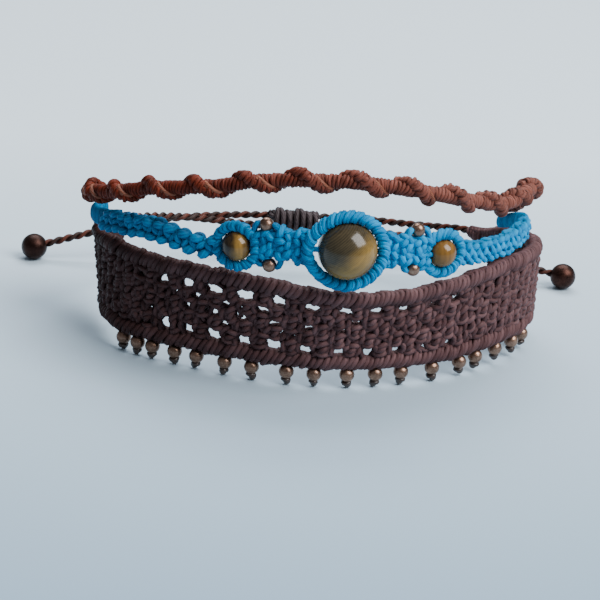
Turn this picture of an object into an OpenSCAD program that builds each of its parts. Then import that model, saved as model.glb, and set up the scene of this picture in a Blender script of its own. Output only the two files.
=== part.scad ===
/* [Oval] */
// Half width of the lace band's upper edge on the left
top_left = 31.6; // [30:0.1:33]
// Half width of the lace band's upper edge on the right
top_right = 32; // [30:0.1:33]
// Half depth of the lace band's upper edge
top_depth = 24.8; // [23.5:0.1:26]
// Half width of the lace band's lower edge on the left
foot_left = 29.9; // [28:0.1:31.5]
// Half width of the lace band's lower edge on the right
foot_right = 32.2; // [30:0.1:33]
// Half depth of the lace band's lower edge, less than above because the front leans out
foot_depth = 22.3; // [21.5:0.1:24.5]
// How square the oval is: 2 is an ellipse, less is more pointed
squareness = 1.77; // [1.65:0.01:2]
// The same for its back ends, where it is fuller
back_squareness = 2; // [1.8:0.01:2.1]
// How much fuller the lower edge is at the corner in front on the left, as a share of the oval
foot_corner = 0.08; // [0:0.005:0.1]

/* [Lace band] */
// Length of one repeat of the knotted net
cell = 4.12; // [3.8:0.01:4.4]
// Half thickness of the corded rails along both edges
rail_half = 1.05; // [0.8:0.05:1.2]
// Half thickness of the net at a knot
net_half = 0.85; // [0.6:0.05:1]
// Half thickness of the net beside a gap
gap_half = 0.6; // [0.4:0.05:0.8]

/* [Upper strand] */
// Radius of the spiral strand's body
spiral_r = 1.15; // [0.9:0.05:1.3]
// How far its knotted ridge stands out
ridge = 0.7; // [0.3:0.05:0.8]
// Length of one turn of the ridge
turn = 7.45; // [6.5:0.05:8.5]

/* [Middle strand] */
// Height of the flat knotted bar
bar_h = 3; // [2.6:0.1:3.4]
// Thickness of the flat knotted bar
bar_t = 1.9; // [1.5:0.1:2.2]
// Length of one pair of knots along the bar
knot_step = 1.9; // [1.6:0.1:2.2]
// Thickness of the knotted ring round a small stone
ring_rope = 1.5; // [1.3:0.05:1.6]
// Thickness of the knotted ring round the large stone
big_ring_rope = 1.65; // [1.4:0.05:1.75]
// Diameter of the large stone in the middle
big_stone = 8; // [7.6:0.1:8.4]
// Diameter of the left stone
left_stone = 4.15; // [3.9:0.05:4.3]
// Diameter of the right stone
right_stone = 3.95; // [3.7:0.05:4.2]
// Diameter of the metal beads beside the rings
accent_bead = 1.95; // [1.8:0.05:2.1]

/* [Fringe] */
// Diameter of a fringe bead
fringe_bead = 2.1; // [1.9:0.05:2.2]
// Diameter of the knot under a fringe bead
stop_knot = 1; // [0.8:0.05:1.1]

/* [Closure] */
// Diameter of the two-ply tie cords
cord_d = 1.2; // [1:0.05:1.3]
// Length of the sliding knot
slider_l = 7.1; // [6.5:0.1:8]
// Diameter of the sliding knot
slider_d = 3.8; // [3.7:0.1:4.2]
// Diameter of the bead on each cord end
tail_bead = 4; // [3.6:0.1:4.4]

/* [Hidden] */

DARK = [0.21, 0.16, 0.16];
CHESTNUT = [0.42, 0.22, 0.17];
BLUE = [0.05, 0.45, 0.66];
COPPER = [0.55, 0.4, 0.3];
DARK_COPPER = [0.3, 0.19, 0.15];

// Heights above the table round the oval. An angle of 0 is the front, positive is to the right.
// Columns: angle, lower edge of the lace, its upper edge, middle strand, upper strand
heights = [
    [-126, 9.8, 11.8, 13.2, 13.4],
    [-108, 10.2, 14.0, 14.95, 17.0],
    [-90, 3.1, 14.9, 16.7, 20.1],
    [-72, 3.1, 15.5, 18.3, 22.4],
    [-54, 3.1, 15.8, 19.65, 25.35],
    [-36, 3.1, 16.2, 19.4, 27.55],
    [-18, 3.1, 16.1, 21.4, 30.05],
    [0, 3.1, 15.0, 21.45, 30.7],
    [18, 3.1, 15.2, 21.1, 29.3],
    [36, 3.2, 16.2, 19.4, 26.9],
    [54, 3.7, 16.9, 18.7, 24.85],
    [72, 3.5, 16.3, 18.6, 24.65],
    [90, 3.6, 15.4, 17.6, 22.5],
    [108, 4.8, 14.0, 14.8, 16.8],
    [126, 9.8, 11.6, 12.6, 12.8]
];
end_angle = 126;
half_side = (len(heights) - 1) / 2;
angle_step = end_angle / half_side;

// Each row of the bracelet: left half width, right half width, half depth, column of its height,
// and how full its corner on the left is
FOOT = [foot_left, foot_right, foot_depth, 1, foot_corner];
TOP = [top_left, top_right, top_depth, 2, 0];
MIDDLE = [32.3, 30.1, 25.7, 3, 0];
UPPER = [33, 30.4, 25, 4, 0];
corner_at = -64;
corner_width = 17;

function unit(v) = v / norm(v);

// A smooth curve through four values in a row
function curve(a, b, c, d, t) =
    b + 0.5 * t * (c - a + t * (2 * a - 5 * b + 4 * c - d + t * (3 * (b - c) + d - a)));

function height_at(angle, column) =
    let (
        last = len(heights) - 1,
        place = min(max((angle + end_angle) / angle_step, 0), last - 0.001),
        i = floor(place)
    )
    curve(
        heights[max(i - 1, 0)][column], heights[i][column],
        heights[i + 1][column], heights[min(i + 2, last)][column], place - i
    );

function on_row(row, angle) =
    let (
        s = sin(angle),
        c = cos(angle),
        behind = max(abs(angle) - 90, 0) / (end_angle - 90),
        n = squareness + (back_squareness - squareness) * behind,
        corner = row[4] * exp(-pow((angle - corner_at) / corner_width, 2)),
        r = pow(pow(abs(s), n) + pow(abs(c), n), -1 / n) + corner
    )
    [(s > 0 ? row[1] : row[0]) * r * s, -row[2] * r * c, height_at(angle, row[3])];

function flat(p) = [p[0], p[1], 0];

// Distance along a row from the front, as a list of [distance, angle]
measure_step = 2;
function one_side(row, side) = [
    for (
        a = 0, s = 0;
        a <= end_angle;
        s = s + norm(on_row(row, side * (a + measure_step)) - on_row(row, side * a)), a = a + measure_step
    )
    [side * s, side * a]
];
function measure(row) =
    let (left = one_side(row, -1))
    concat([for (i = [len(left) - 1:-1:1]) left[i]], one_side(row, 1));

foot_scale = measure(FOOT);
middle_scale = measure(MIDDLE);
upper_scale = measure(UPPER);

function angle_of(scale, s) = lookup(s, scale);
function distance_of(scale, angle) = lookup(angle, [for (e = scale) [e[1], e[0]]]);

// Outward direction of a row, level with the table
function outward(row, angle) =
    let (d = flat(on_row(row, angle + 1) - on_row(row, angle - 1)))
    unit([d[1], -d[0], 0]);

// Closes a list of rings of points into one solid
module skin(rings) {
    n = len(rings[0]);
    last = len(rings) - 1;
    polyhedron(
        points = [for (ring = rings) for (p = ring) p],
        faces = concat(
            [[for (i = [0:n - 1]) i]],
            [[for (i = [n - 1:-1:0]) last * n + i]],
            [
                for (j = [0:last - 1]) for (i = [0:n - 1])
                    let (
                        here = j * n + i,
                        beside = j * n + (i + 1) % n
                    )
                    each [[here, here + n, beside], [here + n, beside + n, beside]]
            ]
        )
    );
}

// Round tube along a route
tube_sides = 8;
function tube(route, r) = [
    for (i = [0:len(route) - 1])
        let (
            ahead = unit(route[min(i + 1, len(route) - 1)] - route[max(i - 1, 0)]),
            side = unit(cross(ahead, [0, 0, 1])),
            over = cross(ahead, side)
        )
        [
            for (k = [0:tube_sides - 1])
                let (a = k * 360 / tube_sides)
                route[i] + r * (cos(a) * side + sin(a) * over)
        ]
];

// Route points drawn out into a smooth curve
function smooth(points, parts) =
    let (last = len(points) - 1)
    concat(
        [
            for (i = [0:last - 1]) for (k = [0:parts - 1])
                curve(points[max(i - 1, 0)], points[i], points[i + 1], points[min(i + 2, last)], k / parts)
        ],
        [points[last]]
    );

// Lace band: two corded rails with a net of square knots between, gaps cut right through.
// Its two edges draw together at the back ends, where the tie cords leave.
hole_from = -0.16;
hole_to = 0.16;
slit_from = 0.42;
slit_to = 0.58;
first_hole = 0.3;
cells_each_way = 14;
end_margin = 0.4;
band_start = distance_of(foot_scale, -end_angle);
band_end = distance_of(foot_scale, end_angle);
columns = concat(
    [band_start],
    [
        for (k = [-cells_each_way:cells_each_way]) for (f = [hole_from, hole_to, slit_from, slit_to])
            let (s = first_hole + (k + f) * cell)
            if (s > band_start + end_margin && s < band_end - end_margin) s
    ],
    [band_end]
);

// Levels up the band. Columns: share of the height, half thickness
levels = [
    [0, 0.5], [0.05, rail_half], [0.16, rail_half], [0.21, gap_half],
    [0.305, gap_half], [0.41, net_half], [0.45, net_half], [0.52, gap_half],
    [0.565, gap_half], [0.65, net_half], [0.69, net_half], [0.73, gap_half],
    [0.82, gap_half], [0.86, rail_half], [0.95, rail_half], [1, 0.5]
];
LOWER_HOLE = 3;
LOWER_SLIT = 5;
MIDDLE_SLIT = 7;
UPPER_SLIT = 9;
UPPER_HOLE = 11;

function column_cell(i) = (columns[i] + columns[i + 1]) / 2 - first_hole;
function near(value, target) = abs(value - target) < 0.05;
function is_gap(i, j) =
    let (
        place = column_cell(i) / cell,
        k = floor(place + 0.5),
        part = place - floor(place),
        at_hole = near(part, 0) || near(part, 1),
        at_slit = near(part, 0.5),
        slit_k = floor(place)
    )
    (at_hole && (j == UPPER_HOLE || j == LOWER_HOLE) && k >= -6 && k <= 5)
    || (at_hole && j == MIDDLE_SLIT && k >= -5 && k <= 3)
    || (at_slit && (j == UPPER_SLIT || j == LOWER_SLIT) && slit_k >= -6 && slit_k <= -1);

function inside(i, j) = i >= 0 && i < len(columns) - 1 && j >= 0 && j < len(levels) - 1;
function is_wall(i, j) = inside(i, j) && !is_gap(i, j);

pinch_from = 100;
function lace_point(i, j, side) =
    let (
        angle = angle_of(foot_scale, columns[i]),
        low = on_row(FOOT, angle),
        high = on_row(TOP, angle),
        pinch = max(abs(angle) - pinch_from, 0) / (end_angle - pinch_from),
        drawn_in = low + pinch * flat(high - low),
        share = levels[j][0],
        mid = drawn_in * (1 - share) + high * share
    )
    mid + side * levels[j][1] * outward(TOP, angle);

module lace_band() {
    ni = len(columns);
    nj = len(levels);
    back = ni * nj;
    color(DARK)
    polyhedron(
        points = concat(
            [for (i = [0:ni - 1]) for (j = [0:nj - 1]) lace_point(i, j, 1)],
            [for (i = [0:ni - 1]) for (j = [0:nj - 1]) lace_point(i, j, -1)]
        ),
        faces = [
            for (i = [0:ni - 2]) for (j = [0:nj - 2])
                if (is_wall(i, j))
                    let (
                        a = i * nj + j,
                        b = a + nj,
                        c = b + 1,
                        d = a + 1
                    )
                    each concat(
                        [[a, c, b], [a, d, c]],
                        [[back + a, back + b, back + c], [back + a, back + c, back + d]],
                        is_wall(i, j - 1) ? [] : [[a, b, back + b], [a, back + b, back + a]],
                        is_wall(i, j + 1) ? [] : [[d, back + c, c], [d, back + d, back + c]],
                        is_wall(i - 1, j) ? [] : [[a, back + a, back + d], [a, back + d, d]],
                        is_wall(i + 1, j) ? [] : [[b, c, back + c], [b, back + c, back + b]]
                    )
        ]
    );
}

// Upper strand: half knots that wind round their core, so that the row of knots makes a ridge
spiral_sides = 10;
spiral_end = 107;
spiral_step = 0.8;
ridge_top = -12.3;
spiral_tip = 0.55;
function spiral_ring(s, size) =
    let (
        angle = angle_of(upper_scale, s),
        centre = on_row(UPPER, angle),
        ahead = unit(on_row(UPPER, angle + 1) - on_row(UPPER, angle - 1)),
        out = outward(UPPER, angle),
        over = cross(out, ahead),
        wound = 360 * (s - distance_of(upper_scale, ridge_top)) / turn
    )
    [
        for (k = [0:spiral_sides - 1])
            let (
                turned = k * 360 / spiral_sides,
                r = size * (spiral_r + ridge * pow(max(cos(turned), 0), 2)),
                around = wound + turned
            )
            centre + r * (cos(around) * over + sin(around) * out)
    ];

module upper_strand() {
    from = distance_of(upper_scale, -spiral_end);
    to = distance_of(upper_scale, spiral_end);
    count = round((to - from) / spiral_step);
    color(CHESTNUT)
    skin([
        for (i = [0:count])
            spiral_ring(from + (to - from) * i / count, i == 0 || i == count ? spiral_tip : 1)
    ]);
}

// Middle strand: flat knotted bars, bridges and a knotted ring round each stone
left_ring_angle = -27.5;
right_ring_angle = 28.1;
ring_gap = 0.15;
smooth_from = 77;
middle_end = 107;
core_thread = 0.4;
core_bore = 0.55;
bead_thread = 0.25;
bead_bore = 0.38;
function ring_r(stone, rope) = stone / 2 + ring_gap + rope / 2;

module at_angle(angle, up = 0) {
    out = outward(MIDDLE, angle);
    translate(on_row(MIDDLE, angle) + [0, 0, up])
        rotate([0, 0, atan2(out[0], -out[1])]) children();
}

ring_sides = 22;
rope_sides = 8;
module thread_ring(angle, stone, rope) {
    points = [
        for (i = [0:ring_sides - 1]) for (k = [0:rope_sides - 1])
            let (
                a = i * 360 / ring_sides,
                w = k * 360 / rope_sides,
                reach = ring_r(stone, rope) + rope / 2 * cos(w)
            )
            [reach * cos(a), rope / 2 * sin(w), reach * sin(a)]
    ];
    at_angle(angle) polyhedron(points = points, faces = [
        for (i = [0:ring_sides - 1]) for (k = [0:rope_sides - 1])
            let (
                a = i * rope_sides + k,
                b = i * rope_sides + (k + 1) % rope_sides,
                c = (i + 1) % ring_sides * rope_sides + k,
                d = (i + 1) % ring_sides * rope_sides + (k + 1) % rope_sides
            )
            each [[a, c, b], [c, d, b]]
    ]);
}

bar_sides = 8;
bar_corner = 1.08;
function bar_ring(s, half_h, half_t) =
    let (
        angle = angle_of(middle_scale, s),
        centre = on_row(MIDDLE, angle),
        out = outward(MIDDLE, angle)
    )
    [
        for (k = [0:bar_sides - 1])
            let (a = (k + 0.5) * 360 / bar_sides)
            centre + bar_corner * (half_t * cos(a) * out + [0, 0, half_h * sin(a)])
    ];

// A knotted bar swells at each pair of knots, then the bare threads run on flat to the lace band
flat_h = 1.6;
flat_t = 0.65;
flat_rings = 8;
flat_taper = 0.9;
knots_per_step = 3;
swell_depth = 0.16;
module knotted_bar(side, start) {
    bend = side * distance_of(middle_scale, side * smooth_from);
    stop = side * distance_of(middle_scale, side * middle_end);
    step = knot_step / knots_per_step;
    knots = [
        for (i = [0:floor((bend - start) / step)])
            let (swell = 1 - swell_depth * (1 - abs(sin(180 * i / knots_per_step))))
            [start + i * step, bar_h / 2 * swell, bar_t / 2 * swell]
    ];
    threads = [
        for (i = [1:flat_rings])
            let (share = i / flat_rings)
            [bend + (stop - bend) * share, flat_h - flat_taper * share, flat_t]
    ];
    rings = [for (e = concat(knots, threads)) bar_ring(side * e[0], e[1], e[2])];
    skin(side < 0 ? rings : [for (i = [len(rings) - 1:-1:0]) rings[i]]);
}

// A bridge of square knots, in two rows of three, joins a small ring to the big one.
// It is low next to the small ring, where the accent beads sit.
left_bridge = [-21.4, -9.4];
right_bridge = [21.5, 9.4];
bridge_knots = 3;
bridge_row = 1.2;
knot_r = 0.9;
knot_lift = 0.3;
knot_slide = 0.6;
low_row = 0.55;
low_knot_r = 0.75;
low_lift = 0.1;
module bridge(small_end, big_end) {
    for (i = [0:bridge_knots - 1]) for (row = [-1, 1]) {
        angle = small_end + (big_end - small_end) * (i + 0.5) / bridge_knots;
        up = i == 0 ? low_row : bridge_row;
        r = i == 0 ? low_knot_r : knot_r;
        high = i == 0 ? low_lift : knot_lift;
        at_angle(angle, row * up) hull() {
            for (lift = [-high, high]) translate([0, 0, lift]) sphere(r = r, $fn = 6);
            for (slide = [-knot_slide, knot_slide]) translate([slide, 0, 0]) sphere(r = r, $fn = 6);
        }
    }
}

// A stone's ring, with the core threads that cross it through the stone's bore
module set_ring(angle, stone, rope) {
    thread_ring(angle, stone, rope);
    at_angle(angle) rotate([0, 90, 0])
        cylinder(r = core_thread, h = 2 * ring_r(stone, rope), center = true, $fn = 8);
}

// Where each accent bead sits. Columns: angle, height over the strand
accents = [[-20.1, 2.7], [-18.6, -3.05], [19.2, 2.9], [18.8, -2.7]];

// Its thread comes out of the ring, runs through the bead and goes into the middle of the bridge
leave_bead = 1.35;
function place(angle, up, along) =
    let (out = outward(MIDDLE, angle))
    on_row(MIDDLE, angle) + [-along * out[1], along * out[0], up];
module leg(from, to) {
    hull() {
        translate(from) sphere(r = bead_thread, $fn = 6);
        translate(to) sphere(r = bead_thread, $fn = 6);
    }
}
module accent_thread(i) {
    angle = accents[i][0];
    up = accents[i][1];
    side = sign(angle);
    ring_angle = side < 0 ? left_ring_angle : right_ring_angle;
    ends = side < 0 ? left_bridge : right_bridge;
    centre = place(ring_angle, 0, 0);
    across = place(ring_angle, 0, 1) - centre;
    away = place(angle, up, 0) - centre;
    aim = unit(away * across * across + [0, 0, away[2]]);
    reach = ring_r(side < 0 ? left_stone : right_stone, ring_rope);
    at_angle(angle, up) rotate([0, 90, 0])
        cylinder(r = bead_thread, h = 2 * leave_bead, center = true, $fn = 6);
    leg(place(angle, up, side * leave_bead), centre + reach * aim);
    leg(place(angle, up, -side * leave_bead), place((ends[0] + ends[1]) / 2, sign(up) * bridge_row, 0));
}

bar_seat = 0.2;
module middle_strand() {
    left_start = -distance_of(middle_scale, left_ring_angle) + ring_r(left_stone, ring_rope) + bar_seat;
    right_start = distance_of(middle_scale, right_ring_angle) + ring_r(right_stone, ring_rope) + bar_seat;
    color(BLUE)
    union() {
        set_ring(0, big_stone, big_ring_rope);
        set_ring(left_ring_angle, left_stone, ring_rope);
        set_ring(right_ring_angle, right_stone, ring_rope);
        bridge(left_bridge[0], left_bridge[1]);
        bridge(right_bridge[0], right_bridge[1]);
        for (i = [0:3]) accent_thread(i);
        knotted_bar(-1, left_start);
        knotted_bar(1, right_start);
    }
}

// A ball drilled from pole to pole
module drilled(d, bore_r) {
    difference() {
        sphere(d = d, $fn = 48);
        cylinder(r = bore_r, h = d + 1, center = true, $fn = 24);
    }
}

module stone(angle, d, shade) {
    color(shade) at_angle(angle) rotate([0, 90, 0]) drilled(d, core_bore);
}

module accent(i) {
    color(COPPER)
    at_angle(accents[i][0], accents[i][1]) rotate([0, 90, 0]) drilled(accent_bead, bead_bore);
}

// Fringe: where each thread leaves the lower rail, as distances along it from the front
fringe = [
    -31, -28.4, -26, -22.6, -19.3, -15.1, -11.2, -6.3, -2.5,
    2.1, 6.2, 10.1, 15.1, 19.9, 23, 27.3, 31.8, 35.6
];
fringe_seat = 0.1;
fringe_thread = 0.3;
thread_gap = 0.15;
fringe_bore = 0.42;
in_the_bore = 0.15;
function fringe_at(i) = on_row(FOOT, angle_of(foot_scale, fringe[i]));
function fringe_drop() = fringe_seat + fringe_bead / 2;

module fringe_bead(i) {
    color(COPPER)
    translate(fringe_at(i) - [0, 0, fringe_drop()]) drilled(fringe_bead, fringe_bore);
}

module fringe_threads() {
    knot_down = fringe_drop() + (fringe_bead + stop_knot) / 2 - in_the_bore;
    color(DARK)
    for (i = [0:len(fringe) - 1]) translate(fringe_at(i)) union() {
        translate([0, 0, -knot_down]) cylinder(r = fringe_thread, h = knot_down - thread_gap, $fn = 24);
        translate([0, 0, -knot_down]) sphere(d = stop_knot, $fn = 32);
    }
}

// Closure: both tie cords run through the sliding knot and out as free tails
slider_y = 24.7;
slider_z = 7.8;
pass = 0.62;
left_pass = [slider_y - pass, slider_z - pass];
right_pass = [slider_y + pass, slider_z + pass];
cord_bore = 0.7;
wraps = 6;
groove = 0.4;
module sliding_knot() {
    pitch = slider_l / wraps;
    wrap_r = pitch / 2;
    color(DARK)
    difference() {
        translate([-slider_l / 2, slider_y, slider_z]) rotate([0, 90, 0]) rotate_extrude($fn = 48)
            union() {
                square([slider_d / 2 - wrap_r * groove, slider_l]);
                for (i = [0:wraps - 1])
                    translate([slider_d / 2 - wrap_r, (i + 0.5) * pitch]) circle(r = wrap_r, $fn = 32);
            }
        for (p = [left_pass, right_pass])
            translate([0, p[0], p[1]]) rotate([0, 90, 0])
                cylinder(r = cord_bore, h = slider_l + 2, center = true, $fn = 24);
    }
}

// Where a tie cord leaves the lace band's end, and where it goes into and out of the knot
tie_seat = 0.35;
knot_end = 3.6;
tail_start = 3.75;
function band_tip(side) =
    let (
        high = on_row(TOP, side * end_angle),
        low = on_row(FOOT, side * end_angle),
        ahead = unit(flat(high - on_row(TOP, side * (end_angle - 1))))
    )
    [high[0], high[1], (high[2] + low[2]) / 2] + tie_seat * ahead;
function in_knot(x, at) = [x, at[0], at[1]];

tie_left_route = [
    band_tip(-1), [-24.2, 16, 10.8], [-20.5, 18.5, 10.1], [-16.5, 20.8, 9.2],
    [-12, 22.7, 8.2], [-8, 23.7, 7.5], [-5, 24.05, 7.2],
    in_knot(-knot_end, left_pass), in_knot(knot_end, left_pass)
];
tie_right_route = [
    band_tip(1), [24.2, 16.1, 10.5], [20.5, 19, 9.7], [16.5, 21.6, 9.1],
    [12, 23.9, 8.7], [8, 25.1, 8.5], [5, 25.3, 8.42],
    in_knot(knot_end, right_pass), in_knot(-knot_end, right_pass)
];
tail_left_route = [
    in_knot(-tail_start, right_pass), [-6, 25.4, 8.4], [-10, 25.5, 8.2], [-15, 25.6, 7.8],
    [-20, 25.6, 7.1], [-25, 25.6, 6.1], [-30, 25.5, 4.9], [-34, 25.4, 3.8],
    [-37, 25.4, 2.9], [-40.1, 25.4, 2]
];
tail_right_route = [
    in_knot(tail_start, left_pass), [6, 24.1, 7], [10, 24.3, 6.7], [15, 24.5, 6.3],
    [20, 24.4, 5.7], [25, 23.9, 4.9], [30, 23, 4], [35, 21.6, 3.1],
    [39, 20.3, 2.5], [42.8, 19.1, 2]
];

module cord(points, shade) {
    color(shade) skin(tube(smooth(points, 2), cord_d / 2));
}

// The cord's end is glued into a blind hole, which goes a little past the bead's middle
hole_depth = 0.15;
module end_bead(route) {
    last = route[len(route) - 1];
    before = route[len(route) - 2];
    into = unit(before - last);
    color(DARK_COPPER)
    translate(last) rotate([0, acos(into[2]), atan2(into[1], into[0])]) difference() {
        sphere(d = tail_bead, $fn = 48);
        translate([0, 0, -hole_depth]) cylinder(r = cord_bore, h = tail_bead, $fn = 24);
    }
}

lace_band();
upper_strand();
middle_strand();
stone(left_ring_angle, left_stone, [0.35, 0.27, 0.12]);  // stone_left
stone(0, big_stone, [0.28, 0.24, 0.17]);  // stone_middle
stone(right_ring_angle, right_stone, [0.5, 0.34, 0.12]);  // stone_right
accent(0);  // accent_bead_1
accent(1);  // accent_bead_2
accent(2);  // accent_bead_3
accent(3);  // accent_bead_4
fringe_threads();
fringe_bead(0);  // fringe_bead_01
fringe_bead(1);  // fringe_bead_02
fringe_bead(2);  // fringe_bead_03
fringe_bead(3);  // fringe_bead_04
fringe_bead(4);  // fringe_bead_05
fringe_bead(5);  // fringe_bead_06
fringe_bead(6);  // fringe_bead_07
fringe_bead(7);  // fringe_bead_08
fringe_bead(8);  // fringe_bead_09
fringe_bead(9);  // fringe_bead_10
fringe_bead(10);  // fringe_bead_11
fringe_bead(11);  // fringe_bead_12
fringe_bead(12);  // fringe_bead_13
fringe_bead(13);  // fringe_bead_14
fringe_bead(14);  // fringe_bead_15
fringe_bead(15);  // fringe_bead_16
fringe_bead(16);  // fringe_bead_17
fringe_bead(17);  // fringe_bead_18
sliding_knot();
cord(tie_left_route, CHESTNUT);  // tie_cord_left
cord(tie_right_route, DARK);  // tie_cord_right
cord(tail_left_route, DARK);  // tail_cord_left
cord(tail_right_route, CHESTNUT);  // tail_cord_right
end_bead(tail_left_route);  // tail_bead_left
end_bead(tail_right_route);  // tail_bead_right
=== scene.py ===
import math

import bpy
import numpy as np
from mathutils import Matrix, Vector


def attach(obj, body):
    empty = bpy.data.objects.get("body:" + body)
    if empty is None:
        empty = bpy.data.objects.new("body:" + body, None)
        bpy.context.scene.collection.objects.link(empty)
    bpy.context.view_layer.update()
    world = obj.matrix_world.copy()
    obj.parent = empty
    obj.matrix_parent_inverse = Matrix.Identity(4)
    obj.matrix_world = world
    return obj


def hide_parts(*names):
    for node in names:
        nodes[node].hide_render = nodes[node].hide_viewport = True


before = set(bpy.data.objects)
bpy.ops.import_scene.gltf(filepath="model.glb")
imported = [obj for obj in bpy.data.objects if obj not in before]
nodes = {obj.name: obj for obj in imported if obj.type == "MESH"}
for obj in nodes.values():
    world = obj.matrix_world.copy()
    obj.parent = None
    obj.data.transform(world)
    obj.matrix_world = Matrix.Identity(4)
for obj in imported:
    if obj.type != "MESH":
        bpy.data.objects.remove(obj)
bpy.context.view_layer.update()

MM = 0.001


# Camera. It looks down on the bracelet from in front and a little to the left, with a long lens,
# and is rolled a few degrees, as the hand that held it was.
view_from = 320 * MM
view_turn = math.radians(-8.94)
view_rise = math.radians(21.0)
view_roll = math.radians(4.82)
look_at = Vector((-1.79, 0, 4.16)) * MM
forward = Vector((
    -math.sin(view_turn) * math.cos(view_rise),
    math.cos(view_turn) * math.cos(view_rise),
    -math.sin(view_rise),
))
level = Vector((math.cos(view_turn), math.sin(view_turn), 0))
upright = level.cross(forward)
right = math.cos(view_roll) * level + math.sin(view_roll) * upright
up = math.cos(view_roll) * upright - math.sin(view_roll) * level
bpy.ops.object.camera_add()
camera = bpy.context.object
camera.data.sensor_width = 36
camera.data.lens = 130.9
camera.data.clip_start = 0.01
camera.data.clip_end = 20
turn = Matrix((right, up, -forward)).transposed().to_4x4()
camera.matrix_world = Matrix.Translation(look_at - view_from * forward) @ turn
bpy.context.scene.camera = camera


# Tie cords and tails. Each cord is twisted from a chestnut and a dark waxed thread. It leaves one
# end of the lace band, runs through the sliding knot behind, and ends in a bead that is glued on.
class Skein:
    """Threads laid along their paths, gathered into one mesh. UV holds length in mm and turn.

    Each thread has its lot, from 0 to 1, and each point its open, the light that reaches it;
    the material darkens the colour by it, as painted shade."""

    def __init__(self, seed):
        self.chance = np.random.default_rng(seed)
        self.points, self.faces, self.uvs, self.lots, self.opens = [], [], [], [], []
        self.count = 0

    def lay(self, path, radius, sides=6, closed=False, out=None, light=1.0):
        """out is the way that this stretch faces; what faces another way lies in the shade, which
        is painted into its colour.

        light is the share of light that reaches it, less where it dips under its neighbours; it too
        is painted into the colour as shade."""
        path = np.asarray(path, float)
        n = len(path)
        radius = np.broadcast_to(np.asarray(radius, float), (n,))
        if closed:
            ahead = np.roll(path, -1, 0) - np.roll(path, 1, 0)
        else:
            ahead = np.gradient(path, axis=0)
        ahead = ahead / np.linalg.norm(ahead, axis=1)[:, None]
        side = np.cross(ahead[0], (0.31, 0.52, 0.79))  # no thread sets out in this direction
        sides_at = np.empty((n, 3))
        for i in range(n):
            side = side - (side @ ahead[i]) * ahead[i]
            side = side / np.linalg.norm(side)
            sides_at[i] = side
        over_at = np.cross(ahead, sides_at)
        turns = np.arange(sides) * 2 * math.pi / sides
        turns = np.broadcast_to(turns, (n, sides)).copy()
        if closed:
            back = side - (side @ ahead[0]) * ahead[0]
            slip = math.atan2(back @ over_at[0], back @ sides_at[0])
            turns -= (slip * np.arange(n) / n)[:, None]
        ring = (np.cos(turns)[..., None] * sides_at[:, None]
                + np.sin(turns)[..., None] * over_at[:, None])
        at = path[:, None] + ring * radius[:, None, None]
        if out is None and closed:
            out = path - path.mean(0)
        if out is None:
            facing = np.ones((n, sides))
        else:
            out = np.broadcast_to(np.asarray(out, float), (n, 3))
            facing = np.einsum("ijk,ik->ij", ring, out / np.linalg.norm(out, axis=1)[:, None])
        light = np.broadcast_to(np.asarray(light, float), (n,))
        # The open of each point, which the material paints into the colour as shade
        self.opens.append((light[:, None] * np.clip(0.35 + 0.95 * facing, 0, 1)).ravel())
        steps = np.linalg.norm(np.diff(path, axis=0), axis=1)
        along = np.concatenate([[0], np.cumsum(steps)])
        if closed:
            along = np.append(along, along[-1] + np.linalg.norm(path[0] - path[-1]))
        start = self.chance.uniform(0, 40)
        base = self.count
        for i in range(n if closed else n - 1):
            j = (i + 1) % n
            for k in range(sides):
                m = (k + 1) % sides
                self.faces.append((base + i * sides + k, base + i * sides + m,
                                   base + j * sides + m, base + j * sides + k))
                here, on = start + along[i], start + along[i + 1]
                self.uvs += [here, k / sides, here, (k + 1) / sides,
                             on, (k + 1) / sides, on, k / sides]
        if not closed:
            for i, order in ((0, range(sides - 1, -1, -1)), (n - 1, range(sides))):
                self.faces.append(tuple(base + i * sides + k for k in order))
                for k in order:
                    self.uvs += [start + along[i], k / sides]
        self.points.append(at.reshape(-1, 3))
        self.lots.append(np.full(n * sides, self.chance.uniform()))
        self.count += n * sides

    def piece(self, name, material, slot, *stands_for):
        mesh = bpy.data.meshes.new(name)
        mesh.from_pydata((np.concatenate(self.points) * MM).tolist(), [], self.faces)
        mesh.uv_layers.new(name="length").data.foreach_set("uv", np.asarray(self.uvs, np.float32))
        for attribute, values in (("lot", self.lots), ("open", self.opens)):
            mesh.attributes.new(attribute, "FLOAT", "POINT").data.foreach_set(
                "value", np.concatenate(values).astype(np.float32))
        mesh.materials.append(material)
        mesh.polygons.foreach_set("use_smooth", [True] * len(mesh.polygons))
        made = bpy.data.objects.new(name, mesh)
        bpy.context.scene.collection.objects.link(made)
        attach(made, "root")
        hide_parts(*stands_for)
        return made


class Wire:
    """A shader socket that takes part in sums."""

    def __init__(self, recipe, socket):
        self.recipe = recipe
        self.socket = socket

    def sum(self, operation, *parts):
        return self.recipe.node("ShaderNodeMath", {"operation": operation}, dict(enumerate(parts)))

    def __add__(self, other): return self.sum("ADD", self, other)
    def __radd__(self, other): return self.sum("ADD", other, self)
    def __sub__(self, other): return self.sum("SUBTRACT", self, other)
    def __rsub__(self, other): return self.sum("SUBTRACT", other, self)
    def __mul__(self, other): return self.sum("MULTIPLY", self, other)
    def __rmul__(self, other): return self.sum("MULTIPLY", other, self)
    def __truediv__(self, other): return self.sum("DIVIDE", self, other)
    def sine(self): return self.sum("SINE", self)
    def clamp(self): return self.recipe.node("ShaderNodeClamp", {}, {"Value": self})


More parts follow.
